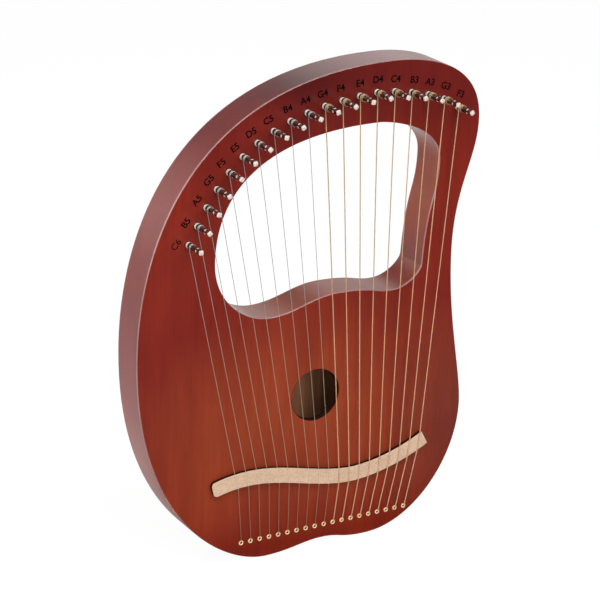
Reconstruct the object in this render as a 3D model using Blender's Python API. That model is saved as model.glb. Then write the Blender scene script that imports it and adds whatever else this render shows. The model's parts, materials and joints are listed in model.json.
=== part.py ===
"""Lyre harp with nineteen strings: a hollow wooden body with a string opening, tuned by turning pins.

The harp is drawn flat, in its own plane: x to the right, y up, and z out of the front face.
The empty harp_plane stands that plane upright, so the front face looks along -Y.
Lengths are in metres. The outlines are drawn by hand as a few knots in millimetres.
"""
import math

import bmesh
import bpy
from mathutils import Vector

MM = 0.001

# Driving sizes of the body
BODY_DEPTH = 38 * MM
BOARD = 4 * MM
RIM = 5 * MM
GLUE_GAP = 0.3 * MM

# Outlines, counter-clockwise. Each knot is x, height, heading in degrees, and its reach before and after
BODY_OUTLINE = (
    (153, 277, 90, 70, 63),
    (175.5, 401.5, 91, 39, 49),
    (76, 466, 180, 51, 208),
    (-175.5, 218.5, 270, 102, 157),
    (-38.5, 0, 0, 46, 27),
    (20, 6, 0, 19, 23),
    (71.5, 0, 0, 30, 55),
    (172, 117, 90, 58, 33),
)
STRING_OPENING = (
    (133.5, 366, 90, 39, 35),
    (66.5, 409.5, 179, 10, 87),
    (-99, 300, 270, 87, 38),
    (-40.5, 239.5, 1, 26, 28),
    (28.5, 252.5, 0, 26, 38),
    (87.5, 246, 0, 17, 19),
    (120, 266.5, 87, 6, 66),
)
OUTLINE_STEPS = 8
OPENING_STEPS = 7
LINE_STEPS = 12
PIN_HOLE_SIDES = 8
STRING_HOLE_SIDES = 6

# Sound hole and its reinforcing ring
SOUND_HOLE_AT = (9 * MM, 155 * MM)
SOUND_HOLE_RADIUS = 25 * MM
SOUND_RING_RADIUS = 34 * MM
SOUND_RING_THICK = 2 * MM
SOUND_HOLE_SIDES = 28

# Strings, from the highest on the left to the lowest on the right
NOTES = "c6 b5 a5 g5 f5 e5 d5 c5 b4 a4 g4 f4 e4 d4 c4 b3 a3 g3 f3".split()
PLAIN_NOTES = 10
PLAIN_RADIUS = 0.27 * MM
WOUND_RADIUS = 0.5 * MM
EYELET_FIRST = (-66 * MM, 19.7 * MM)
EYELET_PITCH = 9.95 * MM
STRING_HOLE_RADIUS = 1.2 * MM
STRING_TURN = 1.2 * MM
EYELET_HEIGHT = 0.4 * MM
BALL_RADIUS = 1.8 * MM
BALL_LENGTH = 3.2 * MM
BALL_SHOULDER = 0.1 * MM
BALL_POCKET_RADIUS = 2.6 * MM

# Tuning pins stand on an arc, with even steps up to its middle knot and slightly wider ones after it
PIN_ARC = (
    (-126.5, 322, 64, 0, 62),
    (61.5, 438.5, 3, 131, 8),
    (150, 415, -40, 30, 0),
)
PINS_TO_MIDDLE = 14
ARC_STEPS = 24
PIN_STANDOUT = 25.5 * MM
PIN_INSERT = 15.5 * MM
PIN_RADIUS = 2.6 * MM
THREAD_RADIUS = 3.0 * MM
THREAD_TOP = 3.4 * MM
NECK_RADIUS = 2.3 * MM
NECK_TOP = 5.0 * MM
HEAD_BASE = 17.5 * MM
HEAD_HALF = 2.2 * MM
PIN_HOLE_RADIUS = 3.6 * MM
PIN_SIDES = 8

# Winding of the string on its pin. A thin plain string takes a turn more than a thick wound one
PLAIN_TURNS = 3
WOUND_TURNS = 2
WINDING_POINTS = 8
WINDING_GAP = 0.5 * MM
WINDING_CLEAR = 0.1 * MM
STRING_LEAVES_AT = 7.1 * MM

# Bridge: a flat strip along an S curve
BRIDGE_LINE = (
    (-95, 81.7, 14, 0, 13),
    (-60, 86, 0, 13, 37),
    (50, 68, 0, 35, 27),
    (131, 90, 29, 25, 0),
)
BRIDGE_WIDTH = 15 * MM
BRIDGE_HEIGHT = 4 * MM
BRIDGE_CORNER = 4 * MM
BRIDGE_UPPER_FIRST, BRIDGE_UPPER_PITCH = -76.6 * MM, 11.2 * MM
BRIDGE_LOWER_FIRST, BRIDGE_LOWER_PITCH = -72.7 * MM, 10.85 * MM

# Blocks, linings and braces inside the body
PIN_BLOCK_WIDTH = 26 * MM
PIN_BLOCK_OVERHANG = (13 * MM, 9 * MM)
TAIL_BLOCK_TOP = 33 * MM
LINING_WIDTH = 6 * MM
LINING_DEPTH = 8 * MM
LINING_LOW = 40 * MM
LEFT_LINING_TOP = 296 * MM
RIGHT_LINING_TOP = 385 * MM
FRONT_BRACES = {"upper": 216 * MM, "lower": 116 * MM}
BACK_BRACES = {"upper": 196 * MM, "lower": 98 * MM}
BRACE_WIDTH = 8 * MM
BRACE_DEPTH = 11 * MM

# The origin is under the middle of the whole harp, so the face stands a little in front of it
FACE_Y = PIN_STANDOUT - (BODY_DEPTH + PIN_STANDOUT) / 2

# Heights above the front face that several pieces share
BOARD_BACK = -BOARD
INNER_FRONT = -BOARD - GLUE_GAP
INNER_BACK = -BODY_DEPTH + BOARD + GLUE_GAP
BACK_FACE = -BODY_DEPTH

# Colours, roughness and metal
FINISHES = {
    "mahogany": ((0.25, 0.032, 0.018), 0.3, 0.0),
    "bare_wood": ((0.62, 0.42, 0.26), 0.6, 0.0),
    "maple": ((0.78, 0.60, 0.42), 0.55, 0.0),
    "nickel": ((0.75, 0.74, 0.72), 0.2, 1.0),
    "steel": ((0.66, 0.65, 0.62), 0.3, 1.0),
    "bronze": ((0.80, 0.52, 0.28), 0.3, 1.0),
}


def clear_scene():
    for obj in list(bpy.data.objects):
        bpy.data.objects.remove(obj)


def make_materials():
    made = {}
    for name, (colour, roughness, metallic) in FINISHES.items():
        material = bpy.data.materials.new(name)
        material.use_nodes = True
        shader = material.node_tree.nodes["Principled BSDF"]
        shader.inputs["Base Color"].default_value = (*colour, 1)
        shader.inputs["Roughness"].default_value = roughness
        shader.inputs["Metallic"].default_value = metallic
        made[name] = material
    return made


def make_harp_plane():
    """The empty that carries every piece: the harp's plane, stood upright."""
    plane = bpy.data.objects.new("harp_plane", None)
    plane.location = (0, FACE_Y, 0)
    plane.rotation_euler = (math.radians(90), 0, 0)
    bpy.context.collection.objects.link(plane)
    return plane


def add_piece(name, data, material, plane, location=(0, 0, 0)):
    piece = bpy.data.objects.new(name, data)
    piece.parent = plane
    piece.location = location
    if not data.materials:
        data.materials.append(material)
    bpy.context.collection.objects.link(piece)
    return piece


def heading_vector(degrees):
    angle = math.radians(degrees)
    return Vector((math.cos(angle), math.sin(angle)))


def knot_curve(knots, steps, closed):
    """Points along the smooth curve through knots given in millimetres."""
    points = []
    spans = list(zip(knots, knots[1:] + knots[:1])) if closed else list(zip(knots, knots[1:]))
    for start, end in spans:
        a, d = Vector(start[:2]), Vector(end[:2])
        b = a + heading_vector(start[2]) * start[4]
        c = d - heading_vector(end[2]) * end[3]
        for step in range(steps):
            t = step / steps
            s = 1 - t
            points.append((a * s**3 + b * 3 * s * s * t + c * 3 * s * t * t + d * t**3) * MM)
    if not closed:
        points.append(Vector(knots[-1][:2]) * MM)
    return points


def left_normals(points, closed):
    """Unit vectors to the left of the way along a curve, one for each point."""
    last = len(points) - 1
    normals = []
    for i in range(len(points)):
        before = points[i - 1] if closed or i > 0 else points[0]
        after = points[(i + 1) % len(points)] if closed or i < last else points[last]
        along = (after - before).normalized()
        normals.append(Vector((-along.y, along.x)))
    return normals


def offset_curve(points, distance, closed=True):
    """The curve moved to its left; on a counter-clockwise loop that is inwards."""
    return [p + n * distance for p, n in zip(points, left_normals(points, closed))]


def circle(centre, radius, sides):
    angles = [2 * math.pi * (i + 0.5) / sides for i in range(sides)]
    return [Vector(centre) + radius * Vector((math.cos(a), math.sin(a))) for a in angles]


def evenly_spaced(points, count):
    """Places at equal steps along a polyline."""
    lengths = [(b - a).length for a, b in zip(points, points[1:])]
    step = sum(lengths) / (count - 1)
    places = []
    passed = 0.0
    i = 0
    for k in range(count):
        while i < len(lengths) - 1 and passed + lengths[i] < step * k:
            passed += lengths[i]
            i += 1
        along = (points[i + 1] - points[i]).normalized()
        places.append(points[i] + along * (step * k - passed))
    return places


def make_plate(name, loops, low, high, material, plane):
    """A flat piece between two heights: the first loop is its edge, the others are holes."""
    curve = bpy.data.curves.new(name, "CURVE")
    curve.dimensions = "2D"
    curve.fill_mode = "BOTH"
    curve.extrude = (high - low) / 2
    for loop in loops:
        spline = curve.splines.new("POLY")
        spline.points.add(len(loop) - 1)
        spline.use_cyclic_u = True
        for point, place in zip(spline.points, loop):
            point.co = (place.x, place.y, 0, 1)
    return add_piece(name, curve, material, plane, (0, 0, (low + high) / 2))


def band(points, width):
    """The closed edge of a strip that follows an open curve."""
    left = offset_curve(points, width / 2, closed=False)
    right = offset_curve(points, -width / 2, closed=False)
    return right + left[::-1]


def stretch(loop, keep):
    """The one run of a closed loop's points that keep accepts, in order."""
    start = next(i for i in range(len(loop)) if keep(loop[i]) and not keep(loop[i - 1]))
    turned = loop[start:] + loop[:start]
    end = next((i for i, point in enumerate(turned) if not keep(point)), len(turned))
    return turned[:end]


def span_at(loop, height):
    """The lowest and highest x at which a closed loop crosses a height."""
    crossings = []
    for a, b in zip(loop, loop[1:] + loop[:1]):
        if (a.y - height) * (b.y - height) < 0:
            crossings.append(a.x + (b.x - a.x) * (height - a.y) / (b.y - a.y))
    return min(crossings), max(crossings)


def rectangle(left, right, low, high):
    return [Vector(corner) for corner in ((left, low), (right, low), (right, high), (left, high))]


def pin_places():
    arc = knot_curve(PIN_ARC, ARC_STEPS, closed=False)
    rising = evenly_spaced(arc[:ARC_STEPS + 1], PINS_TO_MIDDLE)
    falling = evenly_spaced(arc[ARC_STEPS:], len(NOTES) - PINS_TO_MIDDLE + 1)
    return rising + falling[1:]


def eyelet_places():
    x, y = EYELET_FIRST
    return [Vector((x + EYELET_PITCH * i, y)) for i in range(len(NOTES))]


def make_boards(body, opening, finish, plane):
    """The two boards. Only the front one has the sound hole and lets the pins and strings in."""
    pin_holes = [circle(place, PIN_HOLE_RADIUS, PIN_HOLE_SIDES) for place in pin_places()]
    string_holes = [circle(place, STRING_HOLE_RADIUS, STRING_HOLE_SIDES) for place in eyelet_places()]
    ball_pockets = [circle(place, BALL_POCKET_RADIUS, STRING_HOLE_SIDES) for place in eyelet_places()]
    sound_hole = circle(SOUND_HOLE_AT, SOUND_HOLE_RADIUS, SOUND_HOLE_SIDES)
    front = [body, opening, sound_hole] + pin_holes + string_holes
    make_plate("soundboard", front, BOARD_BACK, 0, finish["mahogany"], plane)
    back = [body, opening] + ball_pockets
    make_plate("back_board", back, BACK_FACE, BACK_FACE + BOARD, finish["mahogany"], plane)


def make_rims(body, opening, finish, plane):
    """The bent side wall, and the wall round the string opening."""
    outer = [body, offset_curve(body, RIM)]
    inner = [offset_curve(opening, -RIM), opening]
    make_plate("outer_rim", outer, INNER_BACK, INNER_FRONT, finish["mahogany"], plane)
    make_plate("inner_rim", inner, INNER_BACK, INNER_FRONT, finish["mahogany"], plane)


def make_blocks(body, finish, plane):
    """The hardwood block that grips the pins, and the one that the strings end in."""
    arc = knot_curve(PIN_ARC, LINE_STEPS, closed=False)
    first_way = (arc[1] - arc[0]).normalized()
    last_way = (arc[-1] - arc[-2]).normalized()
    arc.insert(0, arc[0] - first_way * PIN_BLOCK_OVERHANG[0])
    arc.append(arc[-1] + last_way * PIN_BLOCK_OVERHANG[1])
    pin_holes = [circle(place, PIN_HOLE_RADIUS, PIN_HOLE_SIDES) for place in pin_places()]
    pin_block = [band(arc, PIN_BLOCK_WIDTH)] + pin_holes
    make_plate("pin_block", pin_block, INNER_BACK, INNER_FRONT, finish["bare_wood"], plane)

    inside_rim = offset_curve(body, RIM + GLUE_GAP)
    edge = stretch(inside_rim, lambda point: point.y < TAIL_BLOCK_TOP)
    string_holes = [circle(place, STRING_HOLE_RADIUS, STRING_HOLE_SIDES) for place in eyelet_places()]
    tail_block = [edge] + string_holes
    make_plate("tail_block", tail_block, INNER_BACK, INNER_FRONT, finish["bare_wood"], plane)


def make_linings(body, finish, plane):
    """Strips in the corners between the side wall and the boards, where they are glued."""
    sides = {
        "left": lambda point: point.x < 0 and LINING_LOW < point.y < LEFT_LINING_TOP,
        "right": lambda point: point.x > 0 and LINING_LOW < point.y < RIGHT_LINING_TOP,
    }
    depths = {
        "front": (INNER_FRONT - LINING_DEPTH, INNER_FRONT),
        "back": (INNER_BACK, INNER_BACK + LINING_DEPTH),
    }
    inside_rim = offset_curve(body, RIM + GLUE_GAP)
    for side, keep in sides.items():
        run = stretch(inside_rim, keep)
        edge = run + offset_curve(run, LINING_WIDTH, closed=False)[::-1]
        for face, (low, high) in depths.items():
            make_plate(f"{side}_{face}_lining", [edge], low, high, finish["bare_wood"], plane)


def make_braces(body, finish, plane):
    """Bars across the inside of both boards, and the ring round the sound hole."""
    inside_linings = offset_curve(body, RIM + LINING_WIDTH + 3 * GLUE_GAP)
    rows = (
        ("soundboard", FRONT_BRACES, INNER_FRONT - BRACE_DEPTH, INNER_FRONT),
        ("back", BACK_BRACES, INNER_BACK, INNER_BACK + BRACE_DEPTH),
    )
    for board, heights, low, high in rows:
        for place, height in heights.items():
            bottom, top = height - BRACE_WIDTH / 2, height + BRACE_WIDTH / 2
            ends = [span_at(inside_linings, y) for y in (bottom, top)]
            edge = rectangle(max(e[0] for e in ends), min(e[1] for e in ends), bottom, top)
            make_plate(f"{board}_{place}_brace", [edge], low, high, finish["bare_wood"], plane)
    ring = [circle(SOUND_HOLE_AT, radius, SOUND_HOLE_SIDES) for radius in (SOUND_RING_RADIUS, SOUND_HOLE_RADIUS)]
    low = INNER_FRONT - SOUND_RING_THICK
    make_plate("sound_hole_ring", ring, low, INNER_FRONT, finish["bare_wood"], plane)


def make_bridge(finish, plane):
    """The S strip that the strings press on: rounded at its left end and cut square at its right."""
    line = knot_curve(BRIDGE_LINE, LINE_STEPS, closed=False)
    upper = offset_curve(line, BRIDGE_WIDTH / 2, closed=False)
    lower = offset_curve(line, -BRIDGE_WIDTH / 2, closed=False)
    along = (line[1] - line[0]).normalized()
    across = Vector((-along.y, along.x))
    inset = BRIDGE_WIDTH / 2 - BRIDGE_CORNER
    left_end = []
    for side, angles in ((1, (90, 120, 150, 180)), (-1, (180, 210, 240, 270))):
        for degrees in angles:
            turn = heading_vector(degrees)
            corner = along * turn.x + across * turn.y
            left_end.append(line[0] + across * inset * side + corner * BRIDGE_CORNER)
    edge = left_end + lower[1:] + upper[:0:-1]
    make_plate("bridge", [edge], GLUE_GAP, BRIDGE_HEIGHT, finish["maple"], plane)


def ring_of(radius, height, half=None):
    """One ring of the pin: round, or with four flats at half from its axis."""
    ring = []
    for i in range(PIN_SIDES):
        angle = 2 * math.pi * i / PIN_SIDES
        c, s = math.cos(angle), math.sin(angle)
        reach = min(radius, half / max(abs(c), abs(s))) if half else radius
        ring.append(Vector((c * reach, s * reach, height)))
    return ring


def skinned(name, rings):
    """A closed mesh through a stack of rings, bottom first."""
    mesh = bpy.data.meshes.new(name)
    shape = bmesh.new()
    rows = [[shape.verts.new(place) for place in ring] for ring in rings]
    for low, high in zip(rows, rows[1:]):
        for i in range(len(low)):
            j = (i + 1) % len(low)
            shape.faces.new((low[i], low[j], high[j], high[i]))
    shape.faces.new(rows[0][::-1])
    shape.faces.new(rows[-1])
    shape.to_mesh(mesh)
    shape.free()
    return mesh


def make_cord(name, points, radius, material, plane, ball_radius=None):
    """A round tube along points; with a ball radius, its last two points swell into a ball end."""
    curve = bpy.data.curves.new(name, "CURVE")
    curve.dimensions = "3D"
    curve.bevel_depth = radius
    curve.bevel_resolution = 1
    curve.use_fill_caps = True
    spline = curve.splines.new("POLY")
    spline.points.add(len(points) - 1)
    for point, place in zip(spline.points, points):
        point.co = (*place, 1)
    if ball_radius:
        for point in spline.points[-2:]:
            point.radius = ball_radius / radius
    return add_piece(name, curve, material, plane)


def winding_points(radius, turns):
    """One string's turns on its pin, clockwise and away from the face, then into the pin's hole."""
    reach = PIN_RADIUS + radius + WINDING_CLEAR
    pitch = 2 * radius + WINDING_GAP
    start = STRING_LEAVES_AT + pitch
    points = []
    for i in range(turns * WINDING_POINTS + 1):
        turn = i / WINDING_POINTS
        angle = math.pi - 2 * math.pi * turn
        points.append(Vector((reach * math.cos(angle), reach * math.sin(angle), start + pitch * turn)))
    points.append(Vector((0, 0, points[-1].z + pitch / 2)))
    return points


def least_gap(points, radius, per_turn):
    """The smallest space between stretches of a tube that are over half a turn apart."""
    far = per_turn // 2 + 1
    gaps = [(points[j] - points[i]).length for i in range(len(points)) for j in range(i + far, len(points))]
    return min(gaps) - 2 * radius


def mesh_of(obj, name):
    """A welded copy of an object's mesh with its modifiers applied."""
    graph = bpy.context.evaluated_depsgraph_get()
    mesh = bpy.data.meshes.new_from_object(obj.evaluated_get(graph))
    mesh.name = name
    shape = bmesh.new()
    shape.from_mesh(mesh)
    bmesh.ops.remove_doubles(shape, verts=shape.verts, dist=0.001 * MM)
    bmesh.ops.recalc_face_normals(shape, faces=shape.faces)
    shape.to_mesh(mesh)
    shape.free()
    return mesh


def pin_rings():
    """A tuning pin: threaded foot, neck, shaft and square head."""
    slope = 0.3 * MM
    return [
        ring_of(THREAD_RADIUS, -PIN_INSERT),
        ring_of(THREAD_RADIUS, THREAD_TOP),
        ring_of(NECK_RADIUS, THREAD_TOP + slope),
        ring_of(NECK_RADIUS, NECK_TOP),
        ring_of(PIN_RADIUS, NECK_TOP + slope),
        ring_of(PIN_RADIUS, HEAD_BASE),
        ring_of(PIN_RADIUS, HEAD_BASE + slope, HEAD_HALF),
        ring_of(PIN_RADIUS, PIN_STANDOUT - slope, HEAD_HALF),
        ring_of(PIN_RADIUS - slope, PIN_STANDOUT, HEAD_HALF - slope),
    ]


def wound_pin_mesh(name, radius, turns, finish, plane):
    """The pin with its string's winding fused on, as one mesh that all pins of a kind share."""
    points = winding_points(radius, turns)
    gap = least_gap(points[:-1], radius, WINDING_POINTS)
    print(f"{name}: least gap in the winding {gap / MM:.2f} mm")
    coil = make_cord(f"{name}_coil", points, radius, finish["bronze"], plane)
    cutter = add_piece(f"{name}_winding", mesh_of(coil, f"{name}_winding"), finish["bronze"], plane)
    pin = add_piece(f"{name}_shaft", skinned(f"{name}_shaft", pin_rings()), finish["nickel"], plane)
    union = pin.modifiers.new("winding", "BOOLEAN")
    union.operation = "UNION"
    union.object = cutter
    mesh = mesh_of(pin, name)
    for helper in (coil, cutter, pin):
        bpy.data.objects.remove(helper)
    return mesh


def make_pins(finish, plane):
    """Each pin's origin is on its own axis, at the front face."""
    meshes = {
        True: wound_pin_mesh("plain_pin", PLAIN_RADIUS, PLAIN_TURNS, finish, plane),
        False: wound_pin_mesh("wound_pin", WOUND_RADIUS, WOUND_TURNS, finish, plane),
    }
    for i, (note, place) in enumerate(zip(NOTES, pin_places())):
        mesh = meshes[i < PLAIN_NOTES]
        add_piece(f"tuning_pin_{note}", mesh, finish["nickel"], plane, (place.x, place.y, 0))


def string_route(pin, upper, lower, eyelet, radius):
    """From over its pin, across the bridge, into its eyelet and down to its ball end."""
    over_bridge = BRIDGE_HEIGHT + GLUE_GAP + radius
    clear = PIN_RADIUS + GLUE_GAP + radius
    way = (pin - upper).normalized()
    side = Vector((-way.y, way.x))
    leaves = math.atan2(side.y, side.x)
    route = []
    for degrees in (70, 35, 0):
        angle = leaves - math.radians(degrees)
        place = pin + clear * Vector((math.cos(angle), math.sin(angle)))
        route.append((*place, STRING_LEAVES_AT))
    route.append((*upper, over_bridge))
    route.append((*lower, over_bridge))
    tail = (lower - eyelet).normalized()
    for degrees in (90, 45, 0):
        turn = math.radians(degrees)
        place = eyelet + tail * STRING_TURN * (1 - math.cos(turn))
        route.append((*place, EYELET_HEIGHT + STRING_TURN * math.sin(turn)))
    ball_top = INNER_BACK - 2 * GLUE_GAP
    route.append((*eyelet, ball_top))
    route.append((*eyelet, ball_top - BALL_SHOULDER))
    route.append((*eyelet, ball_top - BALL_LENGTH))
    return route


def bridge_edge_height(x, side):
    """The height of the bridge's edge at x, on its upper side for 1 and its lower for -1."""
    line = knot_curve(BRIDGE_LINE, LINE_STEPS, closed=False)
    edge = offset_curve(line, side * BRIDGE_WIDTH / 2, closed=False)
    for a, b in zip(edge, edge[1:]):
        if a.x <= x <= b.x:
            return a.y + (b.y - a.y) * (x - a.x) / (b.x - a.x)
    return edge[-1].y


def make_strings(finish, plane):
    for i, (note, pin, eyelet) in enumerate(zip(NOTES, pin_places(), eyelet_places())):
        plain = i < PLAIN_NOTES
        radius = PLAIN_RADIUS if plain else WOUND_RADIUS
        upper_x = BRIDGE_UPPER_FIRST + BRIDGE_UPPER_PITCH * i
        lower_x = BRIDGE_LOWER_FIRST + BRIDGE_LOWER_PITCH * i
        upper = Vector((upper_x, bridge_edge_height(upper_x, 1)))
        lower = Vector((lower_x, bridge_edge_height(lower_x, -1)))
        route = string_route(pin, upper, lower, eyelet, radius)
        material = finish["steel" if plain else "bronze"]
        make_cord(f"string_{note}", route, radius, material, plane, BALL_RADIUS)


def build():
    clear_scene()
    finish = make_materials()
    plane = make_harp_plane()
    body = knot_curve(BODY_OUTLINE, OUTLINE_STEPS, closed=True)
    opening = knot_curve(STRING_OPENING, OPENING_STEPS, closed=True)
    make_boards(body, opening, finish, plane)
    make_rims(body, opening, finish, plane)
    make_blocks(body, finish, plane)
    make_linings(body, finish, plane)
    make_braces(body, finish, plane)
    make_bridge(finish, plane)
    make_pins(finish, plane)
    make_strings(finish, plane)


build()
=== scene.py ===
"""The looks of the lyre harp: lacquered shells, wound pins, strings, eyelets, printed notes and a studio.

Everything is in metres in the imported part's frame. The harp stands in the XZ plane and faces -Y.
A place on the harp is given as x, height, and its distance out of the front face.
"""
import json
import math

import bmesh
import bpy
from mathutils import Matrix, Vector


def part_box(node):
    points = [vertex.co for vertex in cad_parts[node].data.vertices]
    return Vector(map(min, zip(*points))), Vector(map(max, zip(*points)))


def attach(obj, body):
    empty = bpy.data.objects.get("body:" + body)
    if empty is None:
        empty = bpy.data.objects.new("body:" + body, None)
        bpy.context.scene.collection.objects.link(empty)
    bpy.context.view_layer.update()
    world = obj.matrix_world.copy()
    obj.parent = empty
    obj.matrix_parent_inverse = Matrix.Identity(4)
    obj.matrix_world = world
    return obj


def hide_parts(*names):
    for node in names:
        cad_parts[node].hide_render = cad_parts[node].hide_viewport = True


MM = 0.001

# Smooth outlines. A knot has its x and height in millimetres, its heading in degrees,
# and how far the curve reaches along that heading before it and after it
BODY_OUTLINE = (
    (153, 277, 90, 70, 63),
    (175.5, 401.5, 91, 39, 49),
    (76, 466, 180, 51, 208),
    (-175.5, 218.5, 270, 102, 157),
    (-38.5, 0, 0, 46, 27),
    (20, 6, 0, 19, 23),
    (71.5, 0, 0, 30, 55),
    (172, 117, 90, 58, 33),
)
STRING_WINDOW = (
    (133.5, 366, 90, 39, 35),
    (66.5, 409.5, 179, 10, 87),
    (-99, 300, 270, 87, 38),
    (-40.5, 239.5, 1, 26, 28),
    (28.5, 252.5, 0, 26, 38),
    (87.5, 246, 0, 17, 19),
    (120, 266.5, 87, 6, 66),
)
BRIDGE_LINE = (
    (-95, 81.7, 14, 0, 13),
    (-60, 86, 0, 13, 37),
    (50, 68, 0, 35, 27),
    (131, 90, 29, 25, 0),
)
OUTLINE_STEPS = 36
HARP_HEIGHT = 466 * MM
SOUND_HOLE_AT = Vector((9 * MM, 155 * MM))
SOUND_HOLE_RADIUS = 25 * MM
SOUND_HOLE_SIDES = 96

# Shells. Their edges are rounded further down the wall than across the face
BOARD = 4 * MM
RIM = 5 * MM
SEAM = 0.02 * MM
MERGE_DISTANCE = 0.0001 * MM
EDGE_RADIUS = 0.6 * MM
EDGE_DEPTH = 1.5 * MM
SOUND_HOLE_EDGE = 0.6 * MM
HOLE_EDGE = 0.2 * MM
EDGE_STEPS = 6
HOLE_SIDES = 24

# Bridge
BRIDGE_WIDTH = 15 * MM
BRIDGE_HEIGHT = 4 * MM
BRIDGE_EDGE = 0.5 * MM
BRIDGE_CORNER = 4 * MM
BRIDGE_CORNER_STEPS = 8
BRIDGE_UPPER_FIRST, BRIDGE_UPPER_PITCH = -76.6 * MM, 11.2 * MM
BRIDGE_LOWER_FIRST, BRIDGE_LOWER_PITCH = -72.7 * MM, 10.85 * MM

# Strings and eyelets. A string wraps its pin by an angle in degrees
PLAIN_NOTES = 10
PLAIN_RADIUS = 0.27 * MM
WOUND_RADIUS = 0.5 * MM
EYELET_FIRST = (-66 * MM, 19.7 * MM)
EYELET_PITCH = 9.95 * MM
EYELET_RADIUS = 2.45 * MM
EYELET_BORE = 1.1 * MM
EYELET_RISE = 0.7 * MM
EYELET_FIT = 0.99
BARREL_DEPTH = 3.6 * MM
BARREL_TOP = 0.25
EYELET_SIDES = 32
EYELET_ROLL_STEPS = 12
STRING_TURN = 1.2 * MM
STRING_TURN_STEPS = 8
STRING_LEAVES_AT = 7.1 * MM
STRING_WRAP = 216
STRING_WRAP_STEPS = 24
BALL_RADIUS = 1.8 * MM
BALL_LENGTH = 3.2 * MM
BALL_SIDES = 24
BALL_PROFILE = (
    (0.7, 0), (0.95, 0.12), (1, 0.3), (0.8, 0.45), (0.8, 0.55), (1, 0.7), (0.95, 0.88), (0.7, 1),
)
BALL_POCKET_RADIUS = 2.6 * MM
BALL_DEPTH = 34.3 * MM

# Tuning pins. Heights are distances out of the face, and each head is turned on by some degrees
# from the one before it
PIN_HOLE_RADIUS = 3.3 * MM
PIN_INSERT = 15.5 * MM
PIN_STANDOUT = 25.5 * MM
PIN_RADIUS = 2.6 * MM
THREAD_RADIUS = 3.0 * MM
THREAD_TOP = 3.4 * MM
THREAD_PITCH = 0.7 * MM
THREAD_GROOVE = 0.08 * MM
THREAD_CREST = (0.35, 0.65)
THREAD_END = 0.1 * MM
NECK_RADIUS = 2.3 * MM
NECK_TOP = 5.0 * MM
HEAD_BASE = 17.5 * MM
HEAD_HALF = 2.2 * MM
FACET_LENGTH = 1.3 * MM
# Faces where the flats begin and that face the front by more than this share are painted as a glint
FACET_TILT = 0.12
SHOULDER = 0.3 * MM
HEAD_TURN = 37
DOME = 1.1 * MM
DOME_STEPS = 7
# The end of the tip is painted bright as a glint
BRIGHT_END = 1.7 * MM
# The foot of the collar, like the neck, is painted black as shade
DARK_FOOT = 0.6 * MM
PIN_SIDES = 40
PLAIN_TURNS, WOUND_TURNS = 3.25, 2.0
WINDING_GAP = 0.03 * MM
WINDING_SLACK = 0.06 * MM
WINDING_POINTS = 28
WINDING_TURNS_TO_HOLE = 0.6
STRING_STUB = 0.5 * MM

# Printed notes stand outside their pins. Some were printed a few millimetres to one side,
# and the highest one's name is printed thinner
LABEL_OUT = 11.2 * MM
LABEL_SLIDES = {
    "c6": -4, "b5": -1.5, "a5": 1.5, "g5": 2.5, "f5": 1.5, "b4": 1.5, "a4": 1, "e4": 1.5, "d4": 1,
    "b3": 1, "a3": -1, "g3": -3, "f3": -3.5,
}
LABEL_LEAN = 0.8
LABEL_SIZE = 8.8 * MM
LABEL_WEIGHT = 0.2 * MM
HIGHEST_LABEL_WEIGHT = 0.05 * MM
LABEL_LIFT = 0.02 * MM

# Floor: how white it is, how much of a shadow shows, and where gloss sees it grow bright
FLOOR_RADIUS = 6.0
FLOOR_SIDES = 96
FLOOR_WHITE = 0.8
SHADOW_SHARE = 0.12
PAPER_GLOW = 0.93
FLOOR_DIM = 0.02
FLOOR_BRIGHTENS = (-0.02, 0.2)

# Surroundings: how bright each side is. The other values are parts of a direction, between which
# one side fades into the next: Y from front to back, Z upwards, X to the left, and Z for the left glow
WORLD_FRONT = 0.04
WORLD_BEHIND = 0.88
WORLD_ABOVE = 0.5
WORLD_LEFT = 1.2
FRONT_TO_BACK = (-0.7, 0.3)
LOW_TO_HIGH = (0.05, 0.5)
RIGHT_TO_LEFT = (-0.22, -0.52)
LEFT_GLOW_RISES = (-0.08, 0.14)

# Lamps: name, place, size, power in watts
LAMPS = (
    ("key", (0.4, -2.2, 1.5), (2.2, 2.0), 33),
    ("back", (0.98, 1.7, 1.1), (0.8, 0.8), 1.4),
    ("fill", (-1.8, -0.8, 0.8), (1.1, 1.1), 13),
    ("strip", (0, -0.85, 1.62), (2.2, 0.25), 14),
)
LAMPS_AIM = Vector((0, 0, 0.22))

# Camera, fitted to the photograph
CAMERA_AIM = Vector((-10.77 * MM, -5.88 * MM, 251.75 * MM))
CAMERA_AZIMUTH = -31.052
CAMERA_ELEVATION = 20.498
CAMERA_ROLL = 1.950
CAMERA_DISTANCE = 2.098
CAMERA_LENS = 138.95
CAMERA_SENSOR = 36
CAMERA_REACH = 50

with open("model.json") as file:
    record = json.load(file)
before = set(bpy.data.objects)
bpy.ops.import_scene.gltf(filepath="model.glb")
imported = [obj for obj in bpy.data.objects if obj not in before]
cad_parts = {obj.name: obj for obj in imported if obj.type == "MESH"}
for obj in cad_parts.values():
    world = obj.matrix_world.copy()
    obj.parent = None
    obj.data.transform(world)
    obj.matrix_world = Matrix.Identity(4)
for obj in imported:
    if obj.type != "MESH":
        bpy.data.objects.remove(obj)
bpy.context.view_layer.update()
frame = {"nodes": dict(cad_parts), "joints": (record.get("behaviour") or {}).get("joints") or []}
FACE_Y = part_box("soundboard")[0].y
BODY_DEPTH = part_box("back_board")[1].y - FACE_Y


# Curves in the harp's plane

def heading_vector(degrees):
    """The unit vector in a direction given in degrees, counter-clockwise from the right."""
    angle = math.radians(degrees)
    return Vector((math.cos(angle), math.sin(angle)))


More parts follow.
